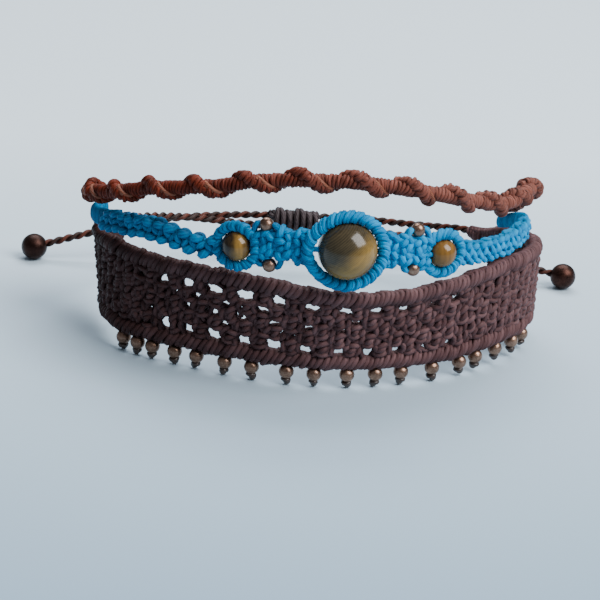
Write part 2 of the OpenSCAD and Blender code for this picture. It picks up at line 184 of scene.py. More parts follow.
class Recipe:
    """A material that is written as sums on its sockets."""

    def __init__(self, name):
        self.material = bpy.data.materials.new(name)
        self.material.use_nodes = True
        self.tree = self.material.node_tree
        self.tree.nodes.clear()

    def node(self, kind, settings, sockets, out=0):
        made = self.tree.nodes.new(kind)
        for key, value in settings.items():
            if key == "stops":
                ramp = made.color_ramp
                while len(ramp.elements) < len(value):
                    ramp.elements.new(1)
                for element, (place, colour) in zip(ramp.elements, value):
                    element.position = place
                    element.color = (*colour, 1)
            else:
                setattr(made, key, value)
        for key, value in sockets.items():
            socket = made.inputs[key]
            if isinstance(value, Wire):
                self.tree.links.new(value.socket, socket)
            else:
                socket.default_value = value
        return Wire(self, made.outputs[out])

    def place(self):
        return self.node("ShaderNodeTexCoord", {}, {}, "Object")

    def apart(self, vector):
        made = self.tree.nodes.new("ShaderNodeSeparateXYZ")
        self.tree.links.new(vector.socket, made.inputs[0])
        return [Wire(self, s) for s in made.outputs]

    def noise(self, scale, vector, detail=2.0):
        return self.node("ShaderNodeTexNoise", {}, {
            "Vector": vector, "Scale": scale, "Detail": detail}, "Fac")

    def mix(self, share, low, high):
        low, high = ((*c, 1) if isinstance(c, tuple) else c for c in (low, high))
        return self.node("ShaderNodeMix", {"data_type": "RGBA"}, {0: share, 6: low, 7: high}, 2)

    def bump(self, height, strength, depth):
        return self.node("ShaderNodeBump", {}, {
            "Strength": strength, "Distance": depth, "Height": height})

    def done(self, **sockets):
        named = {}
        for key, value in sockets.items():
            colour = isinstance(value, tuple) and len(value) == 3
            named[key.replace("_", " ")] = (*value, 1) if colour else value
        shader = self.node("ShaderNodeBsdfPrincipled", {}, named)
        surface = self.tree.nodes.new("ShaderNodeOutputMaterial")
        self.tree.links.new(shader.socket, surface.inputs[0])
        return self.material


def tone(r, g, b):
    """A colour as it is seen, from 0 to 255, as the shader wants it."""
    return tuple(
        c / 12.92 / 255 if c < 10.3 else ((c / 255 + 0.055) / 1.055) ** 2.4 for c in (r, g, b))


def waxed_thread(name, deep, plain, lit, drift=None, front=None, shine=0.15, painted_shade_floor=0.22):
    """Waxed thread: fine filaments wind along it, and each length has a slightly different shade.

    drift holds the first two colours at the right end of the bracelet, paler there as painted
    light, since more light falls there; front is the share of them in the middle of its front.
    lit is a painted highlight on the filaments where light reaches them. The last argument is
    the share of its colour that thread keeps in the painted shade deep down between its neighbours."""
    recipe = Recipe(name)
    length, turn_round, _ = recipe.apart(recipe.node("ShaderNodeUVMap", {"uv_map": "length"}, {}))
    lot = recipe.node("ShaderNodeAttribute", {"attribute_name": "lot"}, {}, "Fac")
    painted_light_reach = recipe.node("ShaderNodeAttribute", {"attribute_name": "open"}, {}, "Fac")
    place = recipe.place()
    ply = ((length * 3.1 + turn_round * 2 * math.pi * 2).sine() + 1) * 0.5
    filament = ((length * 9.0 + turn_round * 2 * math.pi * 7).sine() + 1) * 0.5
    fuzz = recipe.noise(5200, place, 3.0)
    wear = recipe.noise(420, place, 2.0)
    shade = (lot * 0.6 + wear * 0.7 - 0.2).clamp()
    colour = recipe.mix(shade, deep, plain)
    # Painted light: towards the right end the colours turn paler, and the painted shade weaker
    if drift is not None:
        x = recipe.apart(place)[0]
        painted_light_right = (x * 24 + front + (wear - 0.5) * 0.4).clamp()
        colour = recipe.mix(painted_light_right, colour, recipe.mix(shade, *drift))
        painted_shade_floor = painted_light_right * 0.26 + painted_shade_floor
    fibre_glint = (filament * 0.5 + fuzz * 0.9 - 0.5).clamp()
    # Painted highlight: the lit colour on the filaments where light reaches them
    colour = recipe.mix(fibre_glint * painted_light_reach * 0.45, colour, lit)
    # Painted shade: darker where less light reaches, deep down between neighbouring threads
    colour = recipe.mix(painted_light_reach * (1 - painted_shade_floor) + painted_shade_floor, (0.0, 0.0, 0.0), colour)
    relief = ply * 0.6 + filament * 0.45 + fuzz * 0.5
    return recipe.done(
        Base_Color=colour, Roughness=(0.42 + 0.18 * fuzz - 0.08 * fibre_glint).clamp(),
        Specular_IOR_Level=shine, Normal=recipe.bump(relief, 0.6, 0.00006),
    )


def curve(a, b, c, d, t):
    """A smooth run from b to c, with a before and d after them."""
    return b + 0.5 * t * (c - a + t * (2 * a - 5 * b + 4 * c - d + t * (3 * (b - c) + d - a)))


def smooth(points, parts):
    """A smooth route through the points, with so many parts between each two."""
    points = np.asarray(points, float)
    last = len(points) - 1
    drawn = [
        curve(points[max(i - 1, 0)], points[i], points[i + 1], points[min(i + 2, last)], k / parts)
        for i in range(last) for k in range(parts)
    ]
    return np.array([*drawn, points[last]])


def spaced(path, step):
    """The same route with its points evenly apart."""
    along = np.concatenate([[0], np.cumsum(np.linalg.norm(np.diff(path, axis=0), axis=1))])
    marks = np.linspace(0, along[-1], max(int(round(along[-1] / step)) + 1, 4))
    return np.stack([np.interp(marks, along, path[:, i]) for i in range(3)], 1), marks


ply_twist = 3.1
ply_offset = 0.3
ply_radius = 0.32
# The third colour of each waxed thread is its painted highlight
russet_ply = waxed_thread(
    "russet_ply", tone(44, 18, 13), tone(86, 42, 31), tone(142, 88, 68), painted_shade_floor=0.3)
dark_ply = waxed_thread(
    "dark_ply", tone(32, 19, 16), tone(60, 40, 35), tone(104, 80, 72), painted_shade_floor=0.4)


def twisted_cord(name, route, seed, stands_for):
    """Two plies wound round each other, one of each colour, as one mesh with two materials."""
    path, marks = spaced(smooth(route, 8), 0.3)
    ahead = np.gradient(path, axis=0)
    ahead /= np.linalg.norm(ahead, axis=1)[:, None]
    side = np.cross(ahead, (0, 0, 1))
    side /= np.linalg.norm(side, axis=1)[:, None]
    over = np.cross(side, ahead)
    skein = Skein(seed)
    split = 0
    for start in (0, math.pi):
        turned = (start + 2 * math.pi * marks / ply_twist)[:, None]
        out = np.cos(turned) * side + np.sin(turned) * over
        skein.lay(path + ply_offset * out, ply_radius, 8, out=out)
        split = split or len(skein.faces)
    made = skein.piece(name, russet_ply, "twisted_cord", stands_for)
    made.data.materials.append(dark_ply)
    made.data.polygons.foreach_set(
        "material_index", [int(i >= split) for i in range(len(skein.faces))])
    return made, path, marks[-1]


left_pass = (24.08, 7.18)
right_pass = (25.32, 8.42)
band_tip_left = (-25.38, 14.83, 10.8)
band_tip_right = (25.68, 14.83, 10.7)
tie_left_route = [
    band_tip_left, (-24.2, 16, 10.8), (-20.5, 18.5, 10.1), (-16.5, 20.8, 9.2), (-12, 22.7, 8.2),
    (-8, 23.7, 7.5), (-5, 24.05, 7.2), (-3.6, *left_pass), (3.6, *left_pass),
]
tie_right_route = [
    band_tip_right, (24.2, 16.1, 10.5), (20.5, 19, 9.7), (16.5, 21.6, 9.1), (12, 23.9, 8.7),
    (8, 25.1, 8.5), (5, 25.3, 8.42), (3.6, *right_pass), (-3.6, *right_pass),
]
tail_left_route = [
    (-3.75, *right_pass), (-6, 25.4, 8.4), (-10, 25.5, 8.2), (-15, 25.6, 7.8), (-20, 25.6, 7.1),
    (-25, 25.6, 6.1), (-30, 25.5, 4.9), (-34, 25.4, 3.8), (-37, 25.4, 2.9), (-40.1, 25.4, 2),
]
tail_right_route = [
    (3.75, *left_pass), (6, 24.1, 7), (10, 24.3, 6.7), (15, 24.5, 6.3), (20, 24.4, 5.7),
    (25, 23.9, 4.9), (30, 23, 4), (35, 21.6, 3.1), (39, 20.3, 2.5), (42.8, 19.1, 2),
]
twisted_cord("tie_cord_left_twist", tie_left_route, 11, "tie_cord_left")
twisted_cord("tie_cord_right_twist", tie_right_route, 12, "tie_cord_right")
for side_name, route, seed in (("left", tail_left_route, 13), ("right", tail_right_route, 14)):
    tail, path, length = twisted_cord(
        f"tail_{side_name}_twist", route, seed, f"tail_cord_{side_name}")
    tuple(path[0] * MM)
    (path * MM).tolist()


# Sliding knot. Square knots of dark thread are tied round both cords, tight enough to stay where
# they are put; the side loops stand up as lumps.
dark_thread = waxed_thread(
    "dark_thread", tone(31, 24, 25), tone(60, 50, 53), tone(104, 93, 97), painted_shade_floor=0.45)
knot_y, knot_z = 24.7, 7.8
knot_half = 3.55
knot_rise, knot_reach = 1.3, 1.4
knot_thread = 0.42
wrap_count = 13
raised_wraps = (1, 2, 7, 8)
sliding = Skein(21)
for i in range(wrap_count):
    x = -knot_half + 0.4 + (2 * knot_half - 0.8) * i / (wrap_count - 1)
    shake = sliding.chance.normal(0, 1, 2)
    loop = []
    for k in range(18):
        a = 2 * math.pi * k / 18
        rise = math.sin(a)
        lump = 0.5 * max(rise, 0) if i in raised_wraps else 0
        reach = knot_rise + 0.06 * shake[0] + lump
        loop.append((x + (0.26 if i % 2 else -0.26) * math.cos(a + shake[1] * 0.2),
                     knot_y + knot_reach * math.cos(a), knot_z + reach * rise))
    sliding.lay(loop, knot_thread, 7, closed=True)
# The cords inside, and the ends of the knot's own thread
sliding.lay([(-3.2, knot_y, knot_z), (0, knot_y, knot_z + 0.1), (3.2, knot_y, knot_z)], 1.15, 10)
for end in (-1, 1):
    for dy in (-0.5, 0.45):
        path = [(end * 2.6, knot_y + dy, knot_z + 1.1),
                (end * 3.4, knot_y + dy * 1.3, knot_z + 0.9),
                (end * 3.9, knot_y + dy * 1.6, knot_z + 1.3)]
        sliding.lay(path, (knot_thread, knot_thread, 0.34), 7)
sliding.piece("sliding_knot_wraps", dark_thread, "dark_thread", "sliding_knot")


# Lace band. Two corded rails are made by knotting the net's own threads over a core, rib beside
# rib, and between them five rows of square knots are tied alternately, which leaves the gaps.
HEIGHTS = np.array([
    # angle, lower edge of the lace, its upper edge, middle strand, upper strand
    (-126, 9.8, 11.8, 13.2, 13.4),
    (-108, 10.2, 14.0, 14.95, 17.0),
    (-90, 3.1, 14.9, 16.7, 20.1),
    (-72, 3.1, 15.5, 18.3, 22.4),
    (-54, 3.1, 15.8, 19.65, 25.35),
    (-36, 3.1, 16.2, 19.4, 27.55),
    (-18, 3.1, 16.1, 21.4, 30.05),
    (0, 3.1, 15.0, 21.45, 30.7),
    (18, 3.1, 15.2, 21.1, 29.3),
    (36, 3.2, 16.2, 19.4, 26.9),
    (54, 3.7, 16.9, 18.7, 24.85),
    (72, 3.5, 16.3, 18.6, 24.65),
    (90, 3.6, 15.4, 17.6, 22.5),
    (108, 4.8, 14.0, 14.8, 16.8),
    (126, 9.8, 11.6, 12.6, 12.8),
])
END = 126
ANGLE_STEP = 18
# Left half width, right half width, half depth, column of the heights, fullness of the left corner
FOOT = (29.9, 32.2, 22.3, 1, 0.08)
TOP = (31.6, 32.0, 24.8, 2, 0)
MIDDLE = (32.3, 30.1, 25.7, 3, 0)
UPPER = (33.0, 30.4, 25.0, 4, 0)


def on_row(row, angle):
    """A point of the oval that a row follows; angles run from the front, to the right."""
    angle = np.asarray(angle, float)
    place = np.clip((angle + END) / ANGLE_STEP, 0, len(HEIGHTS) - 1.001)
    i = np.floor(place).astype(int)
    column = HEIGHTS[:, row[3]]
    last = len(column) - 1
    before, after = column[np.maximum(i - 1, 0)], column[np.minimum(i + 2, last)]
    z = curve(before, column[i], column[i + 1], after, place - i)
    s, c = np.sin(np.radians(angle)), np.cos(np.radians(angle))
    behind = np.maximum(np.abs(angle) - 90, 0) / (END - 90)
    n = 1.77 + (2 - 1.77) * behind
    r = (np.abs(s) ** n + np.abs(c) ** n) ** (-1 / n) + row[4] * np.exp(-((angle + 64) / 17) ** 2)
    return np.stack([np.where(s > 0, row[1], row[0]) * r * s, -row[2] * r * c, z], -1)


def outward(row, angle):
    """The level direction that points away from the wrist."""
    d = on_row(row, np.asarray(angle, float) + 1) - on_row(row, np.asarray(angle, float) - 1)
    out = np.stack([d[..., 1], -d[..., 0], 0 * d[..., 0]], -1)
    return out / np.linalg.norm(out, axis=-1)[..., None]


def scale_of(row):
    """Distances from the front along a row, and the angles they lie at."""
    angles = np.arange(-END, END + 1, 1.0)
    steps = np.linalg.norm(np.diff(on_row(row, angles), axis=0), axis=1)
    along = np.concatenate([[0], np.cumsum(steps)])
    return along - along[END], angles


foot_along, foot_angles = scale_of(FOOT)
TIP = 7  # the stretch at each end over which the band draws in


def on_lace(s, v, depth):
    """A point of the band: distance along its foot, share of its height, distance outwards.

    The band draws in towards its two tips."""
    angle = np.interp(s, foot_along, foot_angles)
    from_tip = np.minimum(s - foot_along[0], foot_along[-1] - s)
    v = 0.5 + (np.asarray(v, float) - 0.5) * (0.55 + 0.45 * np.clip(from_tip / TIP, 0, 1))
    low, high = on_row(FOOT, angle), on_row(TOP, angle)
    pinch = np.maximum(np.abs(angle) - 100, 0) / (END - 100)
    shift = (high - low) * [1, 1, 0]
    low = low + pinch[..., None] * shift
    v = v[..., None]
    return low * (1 - v) + high * v + np.asarray(depth, float)[..., None] * outward(TOP, angle)


lace_height = 12.6
band_from, band_to = foot_along[0], foot_along[-1]
# The drift colours are painted paler towards the right, where more light falls
brown_thread = waxed_thread(
    "brown_thread", tone(22, 8, 5), tone(42, 19, 14), tone(84, 54, 46),
    drift=(tone(68, 46, 48), tone(110, 82, 84)), front=1.0, shine=0.08, painted_shade_floor=0.42)

rails = Skein(31)
rib_depth, rib_lean, rib_step, rib_thread = 0.74, 0.62, 0.84, 0.46
# The share of the height where each rail lies, and half its height. The ribs are coarser and more
# clearly in pairs on the left half, and get slight towards the tips.
for v_mid, rib_half in ((0.068, 0.9), (0.905, 0.82)):
    s, i = band_from + 0.4, 0
    while s < band_to - 0.3:
        shake = rails.chance.normal(0, 1, 4)
        paired = 1 if s < 2 else 0.35
        finer = min(max((s - 1) / 4, 0), 1)
        slight = 0.5 + 0.5 * min(min(s - band_from, band_to - s) / TIP, 1)
        wander = 0.007 * math.sin(0.9 * s + 9 * v_mid) + 0.005 * math.sin(2.3 * s)
        turned = np.linspace(0, 2 * math.pi, 14, endpoint=False)
        uneven = paired * (-1) ** i
        rise = slight * rib_half * (1 + 0.09 * shake[0] + 0.05 * uneven) * np.cos(turned)
        out = slight * rib_depth * (1 + 0.1 * shake[2] + 0.06 * uneven) * np.sin(turned)
        at = s + (rib_lean + 0.08 * shake[1]) * rise * np.where(np.sin(turned) >= 0, 1, -0.6)
        rails.lay(on_lace(at, v_mid + slight * wander + rise / lace_height, out),
                  (rib_thread - 0.04 * finer) * (0.5 + 0.5 * slight), 6, closed=True)
        s += rib_step - 0.12 * finer + 0.1 * uneven + 0.04 * shake[3]
        i += 1
# The core threads in the rails
for v in (0.06, 0.11, 0.89, 0.94):
    s = np.linspace(band_from + 0.2, band_to - 0.2, 160)
    rails.lay(on_lace(s, np.full(160, v), np.zeros(160)), 0.5, 6)
rails.piece("lace_rails", brown_thread, "dark_thread", "lace_band")


def arch(skein, put, x, y, length, slant, fat, lift, bow, side):
    """One visible length of thread in a knot: it comes up, lies over the others and goes down.

    put turns x, y and depth into a place, and side is 1 on the outside and -1 on the inside."""
    sink = -0.4
    t = np.linspace(-1, 1, 7)
    slant = math.radians(slant)
    along, across = t * length / 2, bow * (1 - t * t)
    depth = sink + (lift - sink) * (1 - t * t) ** 0.55
    # The ends, where the thread goes down under the others, get painted shade
    skein.lay(put(x + along * math.cos(slant) - across * math.sin(slant),
                  y + along * math.sin(slant) + across * math.cos(slant), side * depth),
              fat * (1 - 0.2 * t ** 4), out=put(x, y, side * 2.0) - put(x, y, side * 1.0),
              light=1 - 0.5 * t ** 4)


# What is seen of one square knot: x, y, length, slant, half thickness, height, bow
SQUARE_KNOT = (
    (0.05, 0.62, 1.75, 24, 0.42, 0.62, 0.22),
    (-0.05, -0.58, 1.75, 14, 0.42, 0.6, -0.22),
    (-0.86, 0.05, 1.7, 66, 0.4, 0.5, 0.22),
    (0.86, -0.05, 1.65, 72, 0.4, 0.48, -0.22),
    (0.0, 0.02, 1.3, 52, 0.4, 0.76, 0.0),
)
# The gaps: distance from the front, share of the height, half width, half height, slant
GAPS = np.array([
    (-28.25, 0.745, 0.45, 0.3, 0), (-24.5, 0.74, 0.9, 0.35, 6), (-20.75, 0.755, 0.75, 0.5, 0),
    (-16.75, 0.755, 1.15, 0.5, -14), (-12.5, 0.745, 1.0, 0.55, -10), (-8.0, 0.75, 0.8, 0.4, -12),
    (-3.5, 0.755, 0.85, 0.35, 8), (0.6, 0.755, 0.9, 0.24, 8), (5.25, 0.755, 0.8, 0.24, 8),
    (9.25, 0.755, 0.7, 0.3, 14), (13.5, 0.745, 0.6, 0.2, 14), (17.25, 0.745, 0.65, 0.32, 24),
    (24.75, 0.74, 0.2, 0.25, 0), (-23.9, 0.25, 0.4, 0.85, 18), (-20.5, 0.235, 0.5, 0.75, 30),
    (-16.75, 0.225, 0.95, 0.45, -30), (-12.5, 0.22, 0.8, 0.5, -26), (-8.25, 0.225, 0.95, 0.5, -34),
    (-4.0, 0.22, 0.7, 0.42, -28), (0.5, 0.215, 0.6, 0.5, -50), (4.75, 0.215, 0.6, 0.42, 40),
    (8.75, 0.225, 0.65, 0.42, 24), (13.0, 0.22, 0.35, 0.3, 30), (17.25, 0.215, 0.35, 0.35, 30),
    (-19.5, 0.64, 0.4, 0.16, 0), (-20.75, 0.52, 0.35, 0.2, 24), (-17.0, 0.5, 0.75, 0.3, -8),
    (-15.0, 0.62, 0.22, 0.14, 0), (-15.25, 0.38, 0.3, 0.14, 30), (-12.75, 0.49, 0.6, 0.26, -8),
    (-10.0, 0.625, 0.9, 0.2, -14), (-8.25, 0.485, 0.7, 0.15, 0), (-4.0, 0.5, 0.65, 0.18, 14),
    (2.5, 0.62, 0.5, 0.18, -14), (0.75, 0.5, 0.3, 0.14, 0), (4.5, 0.485, 0.35, 0.14, -10),
])
# The rows of knots: how far each is shifted, in cells, and its share of the height
net_rows = ((0.5, 0.755), (0.0, 0.63), (0.5, 0.5), (0.0, 0.375), (0.5, 0.245))
cell = 4.12
net_shift = 0.3
dense_from, dense_to = -29, 23
# A loop of a knot, or a thread, that would lie nearer to the middle of a gap is left out
loop_clear, thread_clear = 0.75, 0.9


def on_net(x, v, depth):
    """As on_lace, but a thread that would cross one of the gaps is drawn round its edge."""
    x, y = np.array(x, float), np.array(v, float) * lace_height
    for s, share, half_wide, half_tall, slant in GAPS:
        c, n = math.cos(math.radians(slant)), math.sin(math.radians(slant))
        dx, dy = x - s, y - share * lace_height
        along, across = dx * c + dy * n, dy * c - dx * n
        inside = np.hypot(along / (half_wide + 0.5), across / (half_tall + 0.5))
        push = np.where(inside < 1, 1 / np.maximum(inside, 0.15), 1)
        x, y = s + dx * push, share * lace_height + dy * push
    return on_lace(x, y / lace_height, depth)


def in_gap(x, v):
    """How near to the middle of a gap this place is: less than 1 is inside."""
    dx, dy = x - GAPS[:, 0], (v - GAPS[:, 1]) * lace_height
    c, n = np.cos(np.radians(GAPS[:, 4])), np.sin(np.radians(GAPS[:, 4]))
    along, across = dx * c + dy * n, dy * c - dx * n
    return np.hypot(along / (GAPS[:, 2] + 0.3), across / (GAPS[:, 3] + 0.3)).min()


net = Skein(32)


def tie(x0, v0, size, turned):
    """One square knot at its place in the net, front and back."""
    c, n = math.cos(turned), math.sin(turned)

    def put(x, y, depth):
        return on_net(x0 + (x * c - y * n), v0 + (x * n + y * c) / lace_height, depth)
    for side in (1, -1):
        for x, y, length, slant, fat, lift, bow in SQUARE_KNOT:
            shake = net.chance.normal(0, 1, 4)
            if in_gap(x0 + x * size, v0 + y * size / lace_height) < loop_clear:
                continue
            arch(net, put, x * size + 0.07 * shake[0], y * size + 0.06 * shake[1],
                 length * size * (1 + 0.07 * shake[2]), slant + 9 * shake[3],
                 fat * (0.96 + 0.05 * size), lift, bow * size, side)


for phase, v in net_rows:
    for k in range(-16, 17):
        s = net_shift + (k + phase) * cell
        if s < band_from + 6 or s > band_to - 6:
            continue
        shake = net.chance.normal(0, 1, 4)
        dense = s < dense_from or s > dense_to
        size = (1.25 if dense else 1.1) * (1 + 0.05 * shake[0])
        tie(s + 0.12 * shake[1], v + 0.008 * shake[2], size, 0.16 * shake[3])
        if dense:
            tie(s + cell / 2, v + 0.01 * shake[1], 0.9, 0.3 * shake[2])
net.piece("lace_net", brown_thread, "dark_thread", "lace_band")

# Deeper in, the threads on their way from knot to knot close the net but for the gaps; less
# light reaches them, which is painted in as shade
inner = Skein(33)
inner_step = 0.8
for j, v in enumerate(np.linspace(0.175, 0.825, 15)):
    for s in np.arange(band_from + 5, band_to - 5, inner_step):
        a, b, c, _ = inner.chance.normal(0, 1, 4)
        slant = math.radians(62 if (j + int(s / inner_step)) % 2 else -62) + 0.3 * a
        t = np.linspace(-0.75, 0.75, 5)
        lift = 0.3 if c > 0 else -0.3
        middle = s + 0.45 * (j % 2) + 0.15 * b
        if in_gap(middle, v) < thread_clear:
            continue
        path = on_net(middle + t * math.cos(slant), v + t * math.sin(slant) / lace_height,
                      lift * (1 - t * t))
        out = outward(TOP, np.interp(s, foot_along, foot_angles)) * lift
        inner.lay(path, 0.35, 5, out=out, light=0.72)
# Behind the last knots the threads lie side by side and draw in to the tip, in painted shade
for end, reach in ((band_from, 1), (band_to, -1)):
    for i, v in enumerate(np.linspace(0.2, 0.8, 9)):
        for depth in (-0.42, 0.42):
            s = np.linspace(end + reach * 0.2, end + reach * 9, 22)
            wave = 0.012 * np.sin(s * 2.1 + i * 2)
            inner.lay(on_lace(s, v + wave, depth * np.linspace(0.6, 1, 22)), 0.42, 6, light=0.7)
    for i in range(5):
        turned = np.linspace(0, 2 * math.pi, 14, endpoint=False)
        s = end + reach * (0.25 + 0.62 * i)
        tall = 0.36 + 0.1 * i / 4
        loop = on_lace(s + 0.2 * np.cos(turned), 0.5 + tall * np.cos(turned), 0.7 * np.sin(turned))
        inner.lay(loop, 0.34, 6, closed=True)
inner.piece("lace_inner_threads", brown_thread, "dark_thread", "lace_band")


# Fringe. Each thread comes out of the lower rail, goes through a small copper bead and is tied off
# under it; the cut end is melted, which leaves a dark lump with a slight gloss.
# Where the threads hang, along the foot of the band from its front
fringe_at = (-31, -28.4, -26, -22.6, -19.3, -15.1, -11.2, -6.3, -2.5,
             2.1, 6.2, 10.1, 15.1, 19.9, 23, 27.3, 31.8, 35.6)
fringe_thread = 0.29
knot_drop = 2.48
coil_drop = knot_drop - 0.2
coil_thread = 0.32
lump_r, lump_sag = 0.55, 0.16


def melted_thread():
    recipe = Recipe("melted_thread")
    place = recipe.place()
    grain = recipe.noise(1900, place, 3.0)
    return recipe.done(
        Base_Color=recipe.mix(grain, tone(22, 13, 10), tone(62, 42, 34)),
        Roughness=(0.26 + 0.25 * grain).clamp(), Coat_Weight=0.35, Coat_Roughness=0.2,
        Normal=recipe.bump(grain, 0.5, 0.00012),
    )


melted = melted_thread()
bpy.ops.object.select_all(action="DESELECT")
lumps = []
chance = np.random.default_rng(41)
threads = Skein(42)
for i, s in enumerate(fringe_at):
    foot = on_row(FOOT, np.interp(s, foot_along, foot_angles))
    threads.lay([foot + (0, 0, 0.5), foot, foot - (0, 0, 1.2), foot - (0, 0, knot_drop)],
                fringe_thread, 7)
    place = (foot - (0, 0, coil_drop)) * MM
    bpy.ops.mesh.primitive_torus_add(
        major_segments=16, minor_segments=9, major_radius=chance.uniform(0.34, 0.46) * MM,
        minor_radius=coil_thread * MM, location=place,
        rotation=(chance.uniform(-0.25, 0.25), chance.uniform(-0.25, 0.25), 0),
    )
    lumps.append(bpy.context.object)
    lump_x = place[0] + chance.uniform(-0.22, 0.22) * MM
    lump_y = place[1] + chance.uniform(-0.22, 0.22) * MM
    bpy.ops.mesh.primitive_uv_sphere_add(
        segments=16, ring_count=9, radius=lump_r * MM, scale=(1, 1, 1.1),
        location=(lump_x, lump_y, place[2] - lump_sag * MM),
    )
    lumps.append(bpy.context.object)
threads.piece("fringe_thread_ends", dark_thread, "dark_thread", "fringe_threads")
for lump in lumps:
    lump.select_set(True)
bpy.context.view_layer.objects.active = lumps[0]
bpy.ops.object.join()
stops = bpy.context.object
stops.name = "fringe_stop_knots"
bpy.ops.object.transform_apply(location=True, rotation=True, scale=True)
bpy.ops.object.shade_smooth()
stops.data.materials.append(melted)
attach(stops, "root")
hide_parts("fringe_threads")
bpy.ops.object.select_all(action="DESELECT")


def aged_copper(name, deep, plain, worn, roughness):
    """Copper that has been left to darken in patches, rubbed bright where it is touched, and darker
    towards the left as painted shade.
    """
    recipe = Recipe(name)
    place = recipe.place()
    patches = recipe.noise(900, place, 3.0)
    grain = recipe.noise(5200, place, 2.0)
    colour = recipe.mix((patches * 1.8 - 0.4).clamp(), deep, plain)
    colour = recipe.mix((grain * 1.6 - 0.6).clamp() * 0.5, colour, worn)
    # Painted shade: darker towards the left, where less light falls
    colour = recipe.mix((recipe.apart(place)[0] * -12).clamp(), colour, deep)
    return recipe.done(
        Base_Color=colour, Metallic=0.9, Roughness=(roughness + 0.22 * patches).clamp(),
        Normal=recipe.bump(patches + grain * 0.6, 0.35, 0.00008),
    )


copper = aged_copper(
    "aged_copper", tone(80, 57, 47), tone(148, 116, 98), tone(210, 178, 156), roughness=0.22)


def dress(node, material):
    """Gives a bead or stone that stays as it was made its finish."""
    kept = nodes[node]
    kept.data.materials.clear()
    kept.data.materials.append(material)


for i in range(len(fringe_at)):
    dress(f"fringe_bead_{i + 1:02d}", copper)
for i in range(4):
    dress(f"accent_bead_{i + 1}", copper)
tail_copper = aged_copper(
    "tail_copper", tone(26, 15, 13), tone(58, 34, 28), tone(104, 72, 60), roughness=0.3)
for side_name in ("left", "right"):
    dress(f"tail_bead_{side_name}", tail_copper)


# Upper strand. Half knots of chestnut thread are all tied the same way, so that they wind round
# their core: the side of the knots stands out as a ridge, and two bare threads float beside it.
upper_along, upper_angles = scale_of(UPPER)
# The drift colours are painted paler towards the right, where more light falls
chestnut_thread = waxed_thread(
    "chestnut_thread", tone(48, 10, 5), tone(104, 34, 19), tone(166, 88, 60),
    drift=(tone(76, 44, 38), tone(134, 84, 74)), front=0.5, shine=0.1, painted_shade_floor=0.25)
tan_thread = waxed_thread("tan_thread", tone(96, 48, 34), tone(134, 78, 58), tone(186, 134, 106))
spiral = Skein(51)
floats = Skein(52)
body_r = 0.74
wrap_r, wrap_step = 0.28, 0.46
ridge_r = 1.06
ridge_half = 0.44
ridge_turn = 7.45
loop_r, loop_step = 0.29, 0.36
core_r, fill_r = 0.8, 0.56
spiral_end = 107
ridge_top = np.interp(-12.3, upper_angles, upper_along)


def on_upper(s, around, r):
    """A point of the strand: distance along it, turn round its core, distance from it."""
    angle = np.interp(s, upper_along, upper_angles)
    ahead = on_row(UPPER, angle + 1) - on_row(UPPER, angle - 1)
    ahead /= np.linalg.norm(ahead, axis=-1)[..., None]
    out = outward(UPPER, angle)
    over = np.cross(out, ahead)
    away = np.cos(around)[..., None] * over + np.sin(around)[..., None] * out
    return on_row(UPPER, angle) + np.asarray(r, float)[..., None] * away


s_from, s_to = (np.interp(a, upper_angles, upper_along) for a in (-spiral_end, spiral_end))
turned = np.linspace(0, 2 * math.pi, 16, endpoint=False)


def ridge_at(s):
    """How far the ridge has wound round the strand."""
    return 2 * math.pi * (s - ridge_top) / ridge_turn


def stout(s):
    """The strand is a little thicker at its right end."""
    return 1 + 0.05 * np.clip((s - 25) / 12, 0, 1)


# The knots' own wraps
s = s_from
while s < s_to:
    shake = spiral.chance.normal(0, 1, 4)
    r = body_r * stout(s) * (1 + 0.05 * shake[0] + 0.04 * np.cos(3 * turned + 6 * shake[3]))
    lean = 0.3 * (1 + 0.25 * shake[1]) * np.cos(turned - ridge_at(s) - 0.9)
    fat = wrap_r * (1 + 0.08 * np.cos(4 * turned + 9 * shake[2]))
    spiral.lay(on_upper(s + lean, turned, r), fat, 6, closed=True)
    s += wrap_step + 0.03 * shake[3]
# The loops at the side of the knots, each laid over the last, wind round the strand
advance = ridge_turn / (2 * math.pi)
pitch = math.hypot(advance, ridge_r)
s, i = s_from + 0.3, 0
while s < s_to - 0.3:
    shake = spiral.chance.normal(0, 1, 5)
    fall = min(1, 0.75 + 0.2 * min(s - s_from, s_to - s)) * stout(s)
    wide = (ridge_half + 0.2 + 0.05 * shake[0]) * np.sin(turned)
    tall = (ridge_half + 0.06 * shake[1]) * np.cos(turned)
    lean = (0.22 + 0.08 * shake[2]) * np.cos(turned) + 0.07 * shake[3]
    lean = lean + (0.08 if i % 2 else -0.08) * np.sin(turned)
    at = s - wide * ridge_r / pitch + lean
    around = ridge_at(s) + wide * advance / pitch / ridge_r + lean / ridge_r * 0.7
    fat = loop_r * (1 + 0.12 * np.cos(3 * turned + 5 * shake[4]))
    spiral.lay(on_upper(at, around, ridge_r * fall + tall), fat, 6, closed=True)
    s += loop_step + 0.02 * shake[4]
    i += 1
# The core, and the threads that fill the ridge, in painted shade as less light reaches them
s = np.linspace(s_from, s_to, 200)
spiral.lay(on_upper(s, np.zeros(200), np.zeros(200)), core_r, 8, light=0.6)
s = np.linspace(s_from, s_to, 480)
for lift in (0.0, -0.35):
    spiral.lay(on_upper(s, ridge_at(s), (ridge_r + lift) * np.ones(480)), fill_r, 8, light=0.75)
spiral.piece("upper_spiral", chestnut_thread, "chestnut_thread", "upper_strand")
